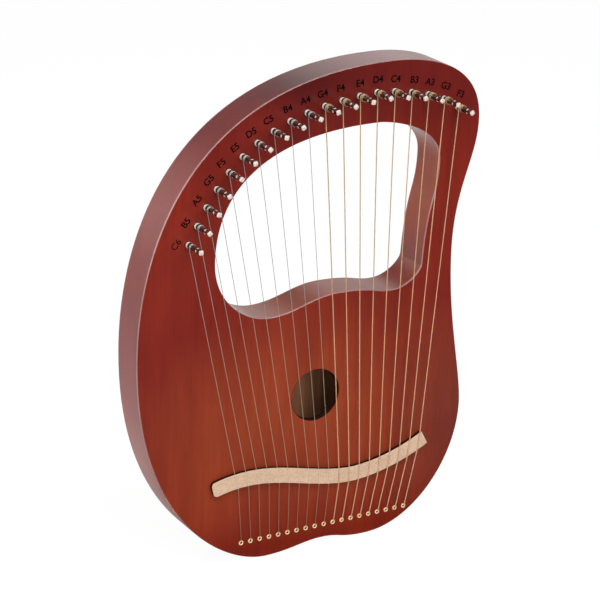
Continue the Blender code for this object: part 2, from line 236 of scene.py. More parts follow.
def knot_curve(knots, closed):
    """Points along the smooth curve through knots given in millimetres."""
    points = []
    spans = list(zip(knots, knots[1:] + knots[:1])) if closed else list(zip(knots, knots[1:]))
    for start, end in spans:
        a, d = Vector(start[:2]), Vector(end[:2])
        b = a + heading_vector(start[2]) * start[4]
        c = d - heading_vector(end[2]) * end[3]
        for step in range(OUTLINE_STEPS):
            t = step / OUTLINE_STEPS
            s = 1 - t
            points.append((a * s**3 + b * 3 * s * s * t + c * 3 * s * t * t + d * t**3) * MM)
    if not closed:
        points.append(Vector(knots[-1][:2]) * MM)
    return points


def left_normals(points, closed):
    """The direction to the left of the curve at each of its points."""
    last = len(points) - 1
    normals = []
    for i in range(len(points)):
        before = points[i - 1] if closed or i > 0 else points[0]
        after = points[(i + 1) % len(points)] if closed or i < last else points[last]
        along = (after - before).normalized()
        normals.append(Vector((-along.y, along.x)))
    return normals


def offset_curve(points, distance, closed=True):
    """The curve moved to its left; on a counter-clockwise loop that is inwards."""
    return [p + n * distance for p, n in zip(points, left_normals(points, closed))]


def circle(centre, radius, sides):
    """Points round a circle, counter-clockwise."""
    angles = [2 * math.pi * i / sides for i in range(sides)]
    return [Vector(centre) + radius * Vector((math.cos(a), math.sin(a))) for a in angles]


def at(place, out):
    """A point of the harp's plane, at a distance out of the front face."""
    return Vector((place.x, FACE_Y - out, place.y))


# Mesh making

def add_object(name, data, body="root"):
    """A new object that rides on a body of the frame."""
    piece = bpy.data.objects.new(name, data)
    bpy.context.scene.collection.objects.link(piece)
    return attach(piece, body)


def finish_mesh(name, shape, materials, sharp=40):
    """The bmesh as a smooth mesh, its edges sharp where they turn by more than a number of degrees."""
    bmesh.ops.remove_doubles(shape, verts=shape.verts, dist=MERGE_DISTANCE)
    bmesh.ops.recalc_face_normals(shape, faces=shape.faces)
    mesh = bpy.data.meshes.new(name)
    shape.to_mesh(mesh)
    shape.free()
    for material in materials:
        mesh.materials.append(material)
    mesh.shade_smooth()
    mesh.set_sharp_from_angle(angle=math.radians(sharp))
    return mesh


def weight_normals(piece):
    """Keeps the shading of large flat faces flat beside rounded edges."""
    modifier = piece.modifiers.new("flat faces stay flat", "WEIGHTED_NORMAL")
    modifier.keep_sharp = True
    modifier.weight = 100


def skin(shape, rings, closed=False, material=0, later_material=None):
    """Faces between rings of equal size, and from the last ring to the first where closed.

    A later material, where given, takes over after the first pair of rings.
    """
    rows = [[shape.verts.new(p) for p in ring] for ring in rings]
    pairs = list(zip(rows, rows[1:]))
    if closed:
        pairs.append((rows[-1], rows[0]))
    for low, high in pairs:
        for i in range(len(low)):
            j = (i + 1) % len(low)
            face = shape.faces.new((low[i], low[j], high[j], high[i]))
            face.material_index = material
        if later_material is not None:
            material = later_material
    return rows


def edge_profile(face, back, radius, depth):
    """Inset and distance out, from a square edge at back to one rounded down to a depth below the face."""
    way = 1 if face > back else -1
    profile = [(0, back)]
    for step in range(EDGE_STEPS + 1):
        angle = math.pi / 2 * step / EDGE_STEPS
        profile.append((radius * (1 - math.cos(angle)), face - way * depth * (1 - math.sin(angle))))
    return profile


def fill(shape, rings, material):
    """A flat face inside the first ring and outside the others."""
    edges = []
    for ring in rings:
        for i in range(len(ring)):
            edges.append(shape.edges.get((ring[i], ring[(i + 1) % len(ring)])))
    made = bmesh.ops.triangle_fill(shape, use_beauty=True, use_dissolve=False, edges=edges)
    for item in made["geom"]:
        if isinstance(item, bmesh.types.BMFace):
            item.material_index = material


def make_board(name, face, back, loops, materials):
    """A board with holes, between its face and its back, which are distances out of the harp's face.

    A loop has its points, which way the board lies from it, its rounding's radius and depth,
    and the places in materials of its wall's finish and its rounding's.
    """
    shape = bmesh.new()
    face_rings, back_rings = [], []
    for points, way, radius, depth, wall, rounding in loops:
        rings = []
        for inset, out in edge_profile(face, back, radius, depth):
            rings.append([at(p, out) for p in offset_curve(points, way * inset)])
        rows = skin(shape, rings, material=wall, later_material=rounding)
        back_rings.append(rows[0])
        face_rings.append(rows[-1])
    fill(shape, face_rings, 0)
    fill(shape, back_rings, 1)
    board = add_object(name, finish_mesh(name, shape, materials))
    weight_normals(board)
    return board


def make_wall(name, outer, inner, outside, inside, finished_side):
    """A bent wall between the boards. finished_side is the lacquered one, outer or inner."""
    front = -BOARD - SEAM
    back = -BODY_DEPTH + BOARD + SEAM
    shape = bmesh.new()
    rings = [[at(p, out) for p in loop] for loop, out in
             ((outer, back), (outer, front), (inner, front), (inner, back))]
    skin(shape, rings, closed=True, material=1)
    lacquered = {"outer": 0, "inner": 2}[finished_side]
    count = len(outer)
    shape.faces.ensure_lookup_table()
    for face in shape.faces[lacquered * count:(lacquered + 1) * count]:
        face.material_index = 0
    return add_object(name, finish_mesh(name, shape, [outside, inside]))


def ring_of(axis, radius, out, half=None, turn=0.0, sides=PIN_SIDES):
    """One ring round an axis that stands out of the face: round, or with four flats."""
    ring = []
    for i in range(sides):
        angle = 2 * math.pi * i / sides
        reach = radius
        if half:
            across = max(abs(math.cos(angle)), abs(math.sin(angle)))
            reach = min(radius, half / across)
        ring.append(at(axis + reach * Vector((math.cos(angle + turn), math.sin(angle + turn))), out))
    return ring


def turned(name, rings, materials, finish_at=None):
    """The mesh of a closed turned piece through its rings; finish_at gives each face's material."""
    shape = bmesh.new()
    rows = skin(shape, rings)
    shape.faces.new(rows[0][::-1])
    shape.faces.new(rows[-1])
    bmesh.ops.recalc_face_normals(shape, faces=shape.faces)
    if finish_at:
        for face in shape.faces:
            face.material_index = finish_at(face)
    return finish_mesh(name, shape, materials, sharp=35)


def tube(name, spans, radius, materials, body="root"):
    """A round wire along spans of points that meet end to end, each with a material."""
    curve = bpy.data.curves.new(name, "CURVE")
    curve.dimensions = "3D"
    curve.bevel_depth = radius
    curve.bevel_resolution = 3
    curve.use_fill_caps = True
    for i, (points, material) in enumerate(zip(spans, materials)):
        curve.materials.append(material)
        spline = curve.splines.new("POLY")
        spline.points.add(len(points) - 1)
        for point, place in zip(spline.points, points):
            point.co = (*place, 1)
        spline.use_smooth = True
        spline.material_index = i
    return add_object(name, curve, body)


# Materials

# The red colour, by its share of the harp's height: darker towards the top and the foot
RED_BY_HEIGHT = (
    (0.02, (0.205, 0.0125, 0.0024)),
    (0.11, (0.254, 0.0255, 0.0080)),
    (0.30, (0.240, 0.0245, 0.0095)),
    (0.50, (0.212, 0.0150, 0.0082)),
    (0.70, (0.220, 0.0155, 0.0068)),
    (0.86, (0.180, 0.0108, 0.0060)),
    (0.97, (0.148, 0.0090, 0.0067)),
)

# Patches of the face where the colour differs: centre and reach, both as x and height, then its colour.
# The first is a painted pool of light with a colour of its own; the others tint what is there, and the one
# at the top is painted shade
PAINTED_LIGHT_PATCH = ((0.01, 0.138), (0.20, 0.13), (0.335, 0.052, 0.0150, 1))
DUSK_PATCH = ((0.18, 0.09), (0.10, 0.17), (0.66, 0.92, 1.8, 1))
# The patch at the top is painted shade, on the face and the walls alike
TOP_SHADE_PATCH = ((-0.01, 0.455), (0.08, 0.035), (0.52, 0.48, 0.66, 1))
# A pale colour painted on the rounded edges as a highlight
EDGE_HIGHLIGHT_PAINT = (0.60, 0.39, 0.36, 1)
WHITE = (1, 1, 1, 1)

# A patch goes through the harp: its scale along Y is next to nothing
ANY_DEPTH = 0.001

# Heights between which the window's sill gives way to its sides, which carry more painted light
SILL = (0.27, 0.31)

# Heights between which the strings come down from the open window to pass close to the board, where light
# reflected from the board is painted on them
WIRES_NEAR_BOARD = (0.29, 0.20)


class Nodes:
    """A short way to write the nodes of a material or a world."""

    def __init__(self, owner):
        owner.use_nodes = True
        self.owner = owner
        self.tree = owner.node_tree
        self.shader = self.tree.nodes.get("Principled BSDF")

    def add(self, kind, inputs=None, **settings):
        """A new node with its inputs set or linked."""
        node = self.tree.nodes.new(kind)
        for key, value in settings.items():
            setattr(node, key, value)
        for key, value in (inputs or {}).items():
            self.put(node, key, value)
        return node

    def put(self, node, key, value):
        socket = node.inputs[key]
        if isinstance(value, bpy.types.NodeSocket):
            self.tree.links.new(value, socket)
        else:
            socket.default_value = value

    def set(self, **values):
        """Sets or links the shader's own inputs."""
        for key, value in values.items():
            self.put(self.shader, key.replace("_", " "), value)

    def place(self):
        return self.add("ShaderNodeTexCoord").outputs["Object"]

    def height(self):
        return self.add("ShaderNodeSeparateXYZ", {"Vector": self.place()}).outputs["Z"]

    def fade(self, value, between, low=0.0, high=1.0):
        """From low to high as the value goes from the first to the second of two, and held outside them."""
        node = self.add("ShaderNodeMapRange", {
            "Value": value, "From Min": between[0], "From Max": between[1], "To Min": low, "To Max": high,
        })
        return node.outputs[0]

    def spot(self, centre, reach):
        """1 at a point given by x and height, at any depth, falling to 0 at its reach each way."""
        near = self.add("ShaderNodeMapping", {
            "Vector": self.place(),
            "Location": (-centre[0] / reach[0], 0, -centre[1] / reach[1]),
            "Scale": (1 / reach[0], ANY_DEPTH, 1 / reach[1]),
        })
        vector = near.outputs["Vector"]
        ball = self.add("ShaderNodeTexGradient", {"Vector": vector}, gradient_type="SPHERICAL")
        return ball.outputs["Fac"]

    def object_place(self, scale):
        mapping = self.add("ShaderNodeMapping", {"Vector": self.place(), "Scale": scale})
        return mapping.outputs["Vector"]

    def noise(self, scale, detail=4.0, roughness=0.5, size=1.0, distortion=0.0):
        node = self.add("ShaderNodeTexNoise", {
            "Vector": self.object_place(scale), "Scale": size, "Detail": detail,
            "Roughness": roughness, "Distortion": distortion,
        })
        return node.outputs["Fac"]

    def ramp(self, factor, stops):
        """The colour that the factor picks from stops of position and colour."""
        node = self.add("ShaderNodeValToRGB", {"Fac": factor})
        elements = node.color_ramp.elements
        while len(elements) < len(stops):
            elements.new(0.5)
        for element, (position, colour) in zip(elements, stops):
            element.position = position
            element.color = (*colour, 1)
        return node.outputs["Color"]

    def mix(self, factor, a, b, blend="MIX"):
        node = self.add("ShaderNodeMix", data_type="RGBA", blend_type=blend)
        self.put(node, 0, factor)
        self.put(node, 6, a)
        self.put(node, 7, b)
        return node.outputs[2]

    def maths(self, operation, a, b=0.0):
        node = self.add("ShaderNodeMath", operation=operation)
        self.put(node, 0, a)
        self.put(node, 1, b)
        return node.outputs[0]

    def bump(self, height, distance, strength):
        node = self.add("ShaderNodeBump", {
            "Height": height, "Distance": distance, "Strength": strength,
        })
        self.put(self.shader, "Normal", node.outputs["Normal"])


def grey(value):
    return (value, value, value)


def material_nodes(name):
    return Nodes(bpy.data.materials.new(name))


def lacquered_mahogany(
    name, tint=(1, 1, 1), low_tint=(1, 1, 1), worn=0.0, roughness=0.28, specular=0.5
):
    """Stained wood under satin lacquer: darker crimson towards the top and the foot, with a painted pool of
    orange light round the sound hole and painted shade along the top.

    Below the window's sill the low tint takes the tint's place. Worn is how far a pale highlight is painted
    onto an edge.
    """
    n = material_nodes(name)
    streaks = n.noise((330, 110, 14), detail=5, roughness=0.6)
    bands = n.noise((26, 20, 7), detail=4, distortion=0.4)
    pores = n.noise((1800, 700, 90), detail=2)
    height = n.height()
    colour = n.ramp(n.fade(height, (0.0, HARP_HEIGHT)), RED_BY_HEIGHT)
    # The first patch is a painted pool of light round the sound hole
    centre, reach, tone = PAINTED_LIGHT_PATCH
    colour = n.mix(n.spot(centre, reach), colour, tone)
    # The patch at the top darkens it as painted shade
    for centre, reach, shade in (DUSK_PATCH, TOP_SHADE_PATCH):
        patch = n.mix(n.spot(centre, reach), WHITE, shade)
        colour = n.mix(1.0, colour, patch, "MULTIPLY")
    blotch = n.ramp(bands, [(0.32, (0.88, 0.80, 0.86)), (0.68, (1.12, 1.20, 1.12))])
    grain = n.ramp(streaks, [(0.30, grey(0.90)), (0.70, grey(1.08))])
    pore = n.ramp(pores, [(0.28, grey(0.84)), (0.42, grey(1.0))])
    # The tints lighten the window's walls and make them browner; the extra lightness is painted light, more
    # on the sides than on the sill
    tint_here = n.mix(n.fade(height, SILL), (*low_tint, 1), (*tint, 1))
    colour = n.mix(1.0, colour, tint_here, "MULTIPLY")
    # Worn mixes in the pale edge colour: a highlight painted on
    colour = n.mix(worn, colour, EDGE_HIGHLIGHT_PAINT)
    for layer in (blotch, grain, pore):
        colour = n.mix(1.0, colour, layer, "MULTIPLY")
    n.set(Base_Color=colour, Roughness=roughness, Specular_IOR_Level=specular)
    n.bump(n.maths("ADD", streaks, n.maths("MULTIPLY", pores, 0.4)), 0.03 * MM, 0.3)
    return n.owner


def bare_wood():
    """Plain unfinished wood inside the body."""
    n = material_nodes("bare wood")
    streaks = n.noise((300, 120, 9), detail=5, roughness=0.65)
    bands = n.noise((30, 30, 3), detail=3)
    base = n.ramp(bands, [(0.3, (0.27, 0.100, 0.042)), (0.7, (0.38, 0.148, 0.064))])
    grain = n.ramp(streaks, [(0.3, grey(0.72)), (0.7, grey(1.12))])
    n.set(Base_Color=n.mix(1.0, base, grain, "MULTIPLY"), Roughness=0.7)
    n.bump(streaks, 0.1 * MM, 0.5)
    return n.owner


def maple():
    """The bridge's pale bare wood, finely speckled with open pores."""
    n = material_nodes("maple")
    specks = n.noise((1100, 1100, 1100), detail=2, roughness=0.6)
    flecks = n.noise((350, 900, 700), detail=3, roughness=0.7)
    clouds = n.noise((60, 60, 90), detail=2)
    base = n.ramp(clouds, [(0.3, (0.66, 0.47, 0.33)), (0.7, (0.74, 0.53, 0.38))])
    speck = n.ramp(specks, [(0.33, (0.70, 0.72, 0.66)), (0.47, grey(1.0))])
    fleck = n.ramp(flecks, [(0.34, (0.86, 0.87, 0.84)), (0.56, (1.05, 1.0, 0.98))])
    n.set(Base_Color=n.mix(1.0, n.mix(1.0, base, fleck, "MULTIPLY"), speck, "MULTIPLY"), Roughness=0.55)
    n.bump(specks, 0.06 * MM, 0.4)
    return n.owner


def dark_edge():
    """Nearly black, with faint streaks: the bridge's sides, the walls of the holes in the boards and the
    sound hole's ring.
    """
    n = material_nodes("dark edge")
    streaks = n.noise((500, 500, 900), detail=3)
    tone = n.ramp(streaks, [(0.3, (0.014, 0.005, 0.003)), (0.7, (0.036, 0.011, 0.006))])
    n.set(Base_Color=tone, Roughness=0.6, Specular_IOR_Level=0.05)
    return n.owner


def painted_light_near_board(n, colour, share):
    """The colour of a wire, multiplied by share where it passes close in front of the board: painted light
    reflected from the red board.
    """
    near = n.fade(n.height(), WIRES_NEAR_BOARD)
    return n.mix(1.0, colour, n.mix(near, WHITE, (*share, 1)), "MULTIPLY")


def metal(name, colour, roughness, wear=0.15, metallic=1.0, share=(1, 1, 1)):
    """A plated or drawn metal, its gloss uneven by the share of wear."""
    n = material_nodes(name)
    cloud = n.noise((400, 400, 400), detail=3)
    dull = n.ramp(cloud, [(0.3, grey(roughness * (1 - wear))), (0.7, grey(roughness * (1 + wear)))])
    tint = n.ramp(cloud, [(0.3, [c * (1 - wear / 3) for c in colour]), (0.7, colour)])
    n.set(Base_Color=painted_light_near_board(n, tint, share), Metallic=metallic, Roughness=dull)
    n.bump(cloud, 0.01 * MM, 0.2)
    return n.owner


def wound_bronze(name, groove, crest, share=(1, 1, 1)):
    """Bronze wire wound tightly on the string: fine rings across its length."""
    n = material_nodes(name)
    rings = n.add("ShaderNodeTexWave", {
        "Vector": n.object_place((1, 1, 1)), "Scale": 1300.0, "Distortion": 0.0,
    }, wave_type="BANDS", bands_direction="Z").outputs["Fac"]
    colour = painted_light_near_board(n, n.ramp(rings, [(0.0, groove), (1.0, crest)]), share)
    n.set(Base_Color=colour, Metallic=0.45, Roughness=0.38)
    n.bump(rings, 0.03 * MM, 0.6)
    return n.owner


def label_ink():
    """Matt black, a little uneven."""
    n = material_nodes("label ink")
    cloud = n.noise((900, 900, 900), detail=2)
    ink = n.ramp(cloud, [(0.35, grey(0.001)), (0.7, (0.004, 0.002, 0.002))])
    n.set(Base_Color=ink, Roughness=0.9, Specular_IOR_Level=0.05)
    return n.owner


LACQUER = lacquered_mahogany("lacquered mahogany")
# The window's walls: a lighter, browner copy of the lacquer, its extra lightness painted light
WINDOW_LACQUER = lacquered_mahogany("window lacquer", tint=(1.4, 2.9, 1.4),
                                    low_tint=(0.95, 1.75, 1.35), specular=0.38)
# The rounded edges: glossier lacquer, and a pale colour painted on as a highlight
EDGE_LACQUER = lacquered_mahogany("polished edge with painted highlight", worn=0.42, roughness=0.13, specular=1.0)
WOOD = bare_wood()
MAPLE = maple()
DARK_EDGE = dark_edge()
COLLAR = metal("satin nickel", (0.90, 0.80, 0.71), 0.34, metallic=0.12)
SHAFT = metal("dark nickel", (0.34, 0.28, 0.26), 0.24)
# Pale paint for the pins' glints: where the flats begin, and at the end
PAINTED_GLINT = metal("steel end with painted glint", (0.74, 0.61, 0.54), 0.4, metallic=0.12)
# Over the face the plain wire is painted warmer, as a reflection of the red board
STEEL = metal("plain steel wire", (0.42, 0.40, 0.39), 0.38, metallic=0.35, share=(1.15, 0.98, 0.72))
# Copies of the plain steel wire, each coloured for where it runs: pale and matt over the maple and brown
# below the bridge as painted reflections of the wood, and brighter on the pins as painted light
STEEL_ON_BRIDGE = metal("steel wire over maple", (0.78, 0.60, 0.46), 0.38, metallic=0.0)
STEEL_TAIL = metal("steel wire under the bridge", (0.40, 0.27, 0.18), 0.38, metallic=0.35)
BRIGHT_STEEL = metal("bright steel wire", (0.52, 0.44, 0.40), 0.3, metallic=0.7)
# Over the face the wound wire is painted lighter, as light from the board
BRONZE = wound_bronze("wound bronze", (0.52, 0.31, 0.17), (0.84, 0.58, 0.36), share=(1.4, 1.25, 1.25))
# A lighter copy of the wound wire over the bridge and below it, as painted light
BRONZE_TAIL = wound_bronze("wound bronze under the bridge", (0.80, 0.45, 0.28), (1.0, 0.74, 0.50))
# A darker copy of the wound wire for its turns on the pins, as painted shade
GOLD_BRONZE = wound_bronze("wound bronze on the pins, painted darker", (0.36, 0.23, 0.11), (0.50, 0.36, 0.20))
BRASS = metal("eyelet brass", (1.0, 0.74, 0.42), 0.36, metallic=0.15)
# Black painted shade, inside the eyelets' barrels and at the pins' foot and neck
BORE = metal("black painted shade", (0.012, 0.009, 0.007), 0.6, metallic=0.0)
INK = label_ink()


# Places that several pieces share

notes = [joint["name"].removeprefix("tune_") for joint in frame["joints"]]
pins = [Vector((joint["pos_m"][0], joint["pos_m"][2])) for joint in frame["joints"]]
eyelets = [Vector((EYELET_FIRST[0] + EYELET_PITCH * i, EYELET_FIRST[1])) for i in range(len(notes))]
body_outline = knot_curve(BODY_OUTLINE, closed=True)
window_outline = knot_curve(STRING_WINDOW, closed=True)
bridge_line = knot_curve(BRIDGE_LINE, closed=False)
bridge_upper = offset_curve(bridge_line, BRIDGE_WIDTH / 2, closed=False)
bridge_lower = offset_curve(bridge_line, -BRIDGE_WIDTH / 2, closed=False)


def place_on(edge, x):
    """The point of an open curve at x."""
    for a, b in zip(edge, edge[1:]):
        if a.x <= x <= b.x:
            return Vector((x, a.y + (b.y - a.y) * (x - a.x) / (b.x - a.x)))
    return Vector((x, edge[-1].y))


uppers = [place_on(bridge_upper, BRIDGE_UPPER_FIRST + BRIDGE_UPPER_PITCH * i) for i in range(len(notes))]
lowers = [place_on(bridge_lower, BRIDGE_LOWER_FIRST + BRIDGE_LOWER_PITCH * i) for i in range(len(notes))]


def string_radius(i):
    return PLAIN_RADIUS if i < PLAIN_NOTES else WOUND_RADIUS


def leaves_pin_at(pin, upper):
    """The direction, in degrees, in which a string's last touch on its pin lies from the axis."""
    way = (pin - upper).normalized()
    return math.degrees(math.atan2(way.x, -way.y))


# The body's shells

def make_shells():
    """The two boards and the two walls, each in place of its CAD node."""
    sound_hole = circle(SOUND_HOLE_AT, SOUND_HOLE_RADIUS, SOUND_HOLE_SIDES)
    finishes = [LACQUER, WOOD, DARK_EDGE, WINDOW_LACQUER, EDGE_LACQUER]
    # The last place, worn, is the rounded edges' finish, which carries a painted highlight
    outer, dark, window, worn = 0, 2, 3, 4
    inwards, outwards = 1, -1
    rounding = (EDGE_RADIUS, EDGE_DEPTH)
    edges = [
        (body_outline, inwards, *rounding, outer, worn),
        (window_outline, outwards, *rounding, window, worn),
    ]
    hole_finish = (outwards, HOLE_EDGE, HOLE_EDGE, dark, dark)
    edges_in_front = edges + [(sound_hole, outwards, SOUND_HOLE_EDGE, SOUND_HOLE_EDGE, dark, dark)]
    pin_holes = [(circle(pin, PIN_HOLE_RADIUS, HOLE_SIDES), *hole_finish) for pin in pins]
    string_holes = [(circle(eyelet, EYELET_BORE, HOLE_SIDES), *hole_finish) for eyelet in eyelets]
    front = make_board("front_board", 0, -BOARD, edges_in_front + pin_holes + string_holes, finishes)
    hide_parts("soundboard")

    pockets = [(circle(eyelet, BALL_POCKET_RADIUS, HOLE_SIDES), *hole_finish) for eyelet in eyelets]
    back = make_board("back_shell", -BODY_DEPTH, -BODY_DEPTH + BOARD, edges + pockets, finishes)
    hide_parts("back_board")

    inside = offset_curve(body_outline, RIM)
    side = make_wall("side_wall", body_outline, inside, LACQUER, WOOD, "outer")
    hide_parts("outer_rim")

    hidden = offset_curve(window_outline, -RIM)
    inner = make_wall("window_wall", hidden, window_outline, WINDOW_LACQUER, WOOD, "inner")
    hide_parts("inner_rim")


# The bridge strip

def make_bridge():
    """The pale strip: rounded at its left end and cut square at its right."""
    start = bridge_line[0]
    along = (bridge_line[1] - start).normalized()
    across = Vector((-along.y, along.x))
    inset = BRIDGE_WIDTH / 2 - BRIDGE_CORNER
    left_end = []
    for side, first in ((1, 90), (-1, 180)):
        for step in range(BRIDGE_CORNER_STEPS + 1):
            turn = heading_vector(first + 90 * step / BRIDGE_CORNER_STEPS)
            corner = along * turn.x + across * turn.y
            left_end.append(start + across * inset * side + corner * BRIDGE_CORNER)
    edge = left_end + bridge_lower[1:] + bridge_upper[:0:-1]
    shape = bmesh.new()
    rings = []
    for moved, out in edge_profile(BRIDGE_HEIGHT, SEAM, BRIDGE_EDGE, BRIDGE_EDGE):
        rings.append([at(p, out) for p in offset_curve(edge, moved)])
    rows = skin(shape, rings)
    # The strip's sides take the nearly black finish
    side_top = FACE_Y - BRIDGE_HEIGHT + BRIDGE_EDGE
    for face in shape.faces:
        face.material_index = 1 if face.calc_center_median().y > side_top else 0
    fill(shape, [rows[-1]], 0)
    fill(shape, [rows[0]], 1)
    bridge = add_object("bridge_strip", finish_mesh("bridge_strip", shape, [MAPLE, DARK_EDGE]))
    weight_normals(bridge)
    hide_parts("bridge")


# Strings, eyelets and pins

def string_points(pin, upper, lower, eyelet, radius):
    """A string's three spans: from round its pin, across the bridge, and down through its eyelet."""
    over_bridge = BRIDGE_HEIGHT + SEAM + radius
    reach = PIN_RADIUS + radius + WINDING_SLACK
    leaves = leaves_pin_at(pin, upper)
    speaking = []
    for step in range(STRING_WRAP_STEPS + 1):
        turn = heading_vector(leaves - STRING_WRAP * (1 - step / STRING_WRAP_STEPS))
        speaking.append(at(pin + turn * reach, STRING_LEAVES_AT))
    crossing = [at(upper, over_bridge), at(lower, over_bridge)]
    tail = [crossing[1]]
    way = (lower - eyelet).normalized()
    edge = eyelet + way * (EYELET_BORE - radius)
    for step in range(STRING_TURN_STEPS + 1):
        turn = math.pi / 2 * (1 - step / STRING_TURN_STEPS)
        place = edge + way * STRING_TURN * (1 - math.cos(turn))
        tail.append(at(place, EYELET_RISE + radius - STRING_TURN * (1 - math.sin(turn))))
    tail.append(at(edge, -BOARD))
    tail.append(at(eyelet, -2 * BOARD))
    tail.append(at(eyelet, -BALL_DEPTH))
    return [speaking + crossing[:1], crossing, tail]


def make_ball(name, eyelet, material):
    """The turned ball end that stops a string behind the tail block."""
    rings = []
    for share, along in BALL_PROFILE:
        out = -BALL_DEPTH - BALL_LENGTH * along
        rings.append(ring_of(eyelet, BALL_RADIUS * share, out, sides=BALL_SIDES))
    return add_object(name, turned(name, rings, [material]))


def make_strings():
    """Each string, in place of its CAD node, and its ball end."""
    for i, (note, pin, upper, lower, eyelet) in enumerate(zip(notes, pins, uppers, lowers, eyelets)):
        radius = string_radius(i)
        spans = string_points(pin, upper, lower, eyelet, radius)
        # Each part of a string takes a copy of its wire's finish, coloured with painted reflections of what
        # lies beneath
        finishes = [STEEL, STEEL_ON_BRIDGE, STEEL_TAIL]
        if i >= PLAIN_NOTES:
            finishes = [BRONZE, BRONZE_TAIL, BRONZE_TAIL]
        wire = tube(f"wire_{note}", spans, radius, finishes)
        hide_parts(f"string_{note}")
        make_ball(f"ball_end_{note}", eyelet, BRASS)


def make_eyelets():
    """A rolled brass ring on the face, with a short barrel in the hole that is painted black as shade."""
    roll = (EYELET_RADIUS - EYELET_BORE) / 2
    middle = (EYELET_RADIUS + EYELET_BORE) / 2
    barrel = [(EYELET_BORE, -BARREL_DEPTH), (EYELET_BORE, BARREL_TOP * EYELET_RISE)]
    ring = [barrel[-1]]
    for step in range(2, EYELET_ROLL_STEPS + 1):
        angle = math.pi * (1 - step / EYELET_ROLL_STEPS)
        ring.append((middle + roll * math.cos(angle), EYELET_RISE * math.sin(angle) + SEAM))
    for note, eyelet in zip(notes, eyelets):
        shape = bmesh.new()
        # The barrel is painted black as shade
        for profile, material in ((barrel, 1), (ring, 0)):
            rings = []
            for radius, out in profile:
                rings.append(ring_of(eyelet, radius * EYELET_FIT, out, sides=EYELET_SIDES))
            skin(shape, rings, material=material)
        mesh = finish_mesh(f"eyelet_{note}", shape, [BRASS, BORE], sharp=60)
        add_object(f"eyelet_{note}", mesh)


def thread_rings(pin):
    """Fine ridges up the collar, worn flat on their crests."""
    rings = []
    out = -PIN_INSERT
    while out < THREAD_TOP - THREAD_PITCH:
        rings.append(ring_of(pin, THREAD_RADIUS - THREAD_GROOVE, out))
        for share in THREAD_CREST:
            rings.append(ring_of(pin, THREAD_RADIUS, out + share * THREAD_PITCH))
        out += THREAD_PITCH
    return rings


def pin_rings(pin, turn):
    """A pin from its hidden end to its domed tip, its four flats turned by an angle."""
    rings = thread_rings(pin)
    rings.append(ring_of(pin, THREAD_RADIUS - THREAD_END, THREAD_TOP))
    rings.append(ring_of(pin, NECK_RADIUS, THREAD_TOP + SHOULDER / 3))
    rings.append(ring_of(pin, NECK_RADIUS, NECK_TOP))
    rings.append(ring_of(pin, PIN_RADIUS, NECK_TOP + SHOULDER))
    rings.append(ring_of(pin, PIN_RADIUS, HEAD_BASE, turn=turn))
    rings.append(ring_of(pin, PIN_RADIUS, HEAD_BASE + FACET_LENGTH, HEAD_HALF, turn=turn))
    rings.append(ring_of(pin, PIN_RADIUS, PIN_STANDOUT - BRIGHT_END, HEAD_HALF, turn=turn))
    rings.append(ring_of(pin, PIN_RADIUS, PIN_STANDOUT - DOME, HEAD_HALF, turn=turn))
    for step in range(1, DOME_STEPS):
        angle = math.pi / 2 * step / DOME_STEPS
        shrink = math.cos(angle)
        out = PIN_STANDOUT - DOME + DOME * math.sin(angle)
        rings.append(ring_of(pin, PIN_RADIUS * shrink, out, HEAD_HALF * shrink, turn=turn))
    return rings


def pin_finish(face):
    """Which of a pin's materials a face has. It is painted black as shade at its foot and its neck, and
    painted bright as a glint where the flats begin and at the end.
    """
    out = FACE_Y - face.calc_center_median().y
    collar, shaft, bright, black = range(4)
    if DARK_FOOT < out < THREAD_TOP:
        return collar
    # The foot and the neck are painted black as shade
    if out < NECK_TOP:
        return black
    # Front-facing faces where the flats begin, and the end, are painted bright as a glint
    starts_flat = HEAD_BASE < out < HEAD_BASE + FACET_LENGTH and -face.normal.y > FACET_TILT
    return bright if starts_flat or out > PIN_STANDOUT - BRIGHT_END else shaft


def winding_points(pin, radius, turns, leaves):
    """The turns on the pin, from where the string's own turn ends, then through the pin's hole."""
    reach = PIN_RADIUS + radius + WINDING_SLACK
    pitch = 2 * radius + WINDING_GAP
    steps = int(turns * WINDING_POINTS)
    points = []
    for i in range(steps + 1):
        turn = i / WINDING_POINTS
        way = heading_vector(leaves - STRING_WRAP - 360 * turn)
        points.append(at(pin + way * reach, STRING_LEAVES_AT + pitch * (1 + turn)))
    hole = STRING_LEAVES_AT + pitch * (1 + turns + WINDING_TURNS_TO_HOLE)
    points.append(at(pin + way * (PIN_RADIUS - radius), hole))
    points.append(at(pin - way * (PIN_RADIUS + STRING_STUB), hole))
    return points


def make_pins():
    """Each pin, in place of its CAD node, and the turns of string that ride on it."""
    for i, (note, pin, upper) in enumerate(zip(notes, pins, uppers)):
        plain = i < PLAIN_NOTES
        turns = PLAIN_TURNS if plain else WOUND_TURNS
        # The turns on a pin take a copy of their wire: brighter steel as painted light, darker bronze as
        # painted shade
        finish = BRIGHT_STEEL if plain else GOLD_BRONZE
        rings = pin_rings(pin, math.radians(HEAD_TURN * i % 90))
        mesh = turned(f"pin_metal_{note}", rings, [COLLAR, SHAFT, PAINTED_GLINT, BORE], finish_at=pin_finish)
        metal_pin = add_object(f"pin_metal_{note}", mesh, f"pin_{note}")
        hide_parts(f"tuning_pin_{note}")
        wound = [winding_points(pin, string_radius(i), turns, leaves_pin_at(pin, upper))]
        winding = tube(f"winding_{note}", wound, string_radius(i), [finish], f"pin_{note}")


# Printed notes

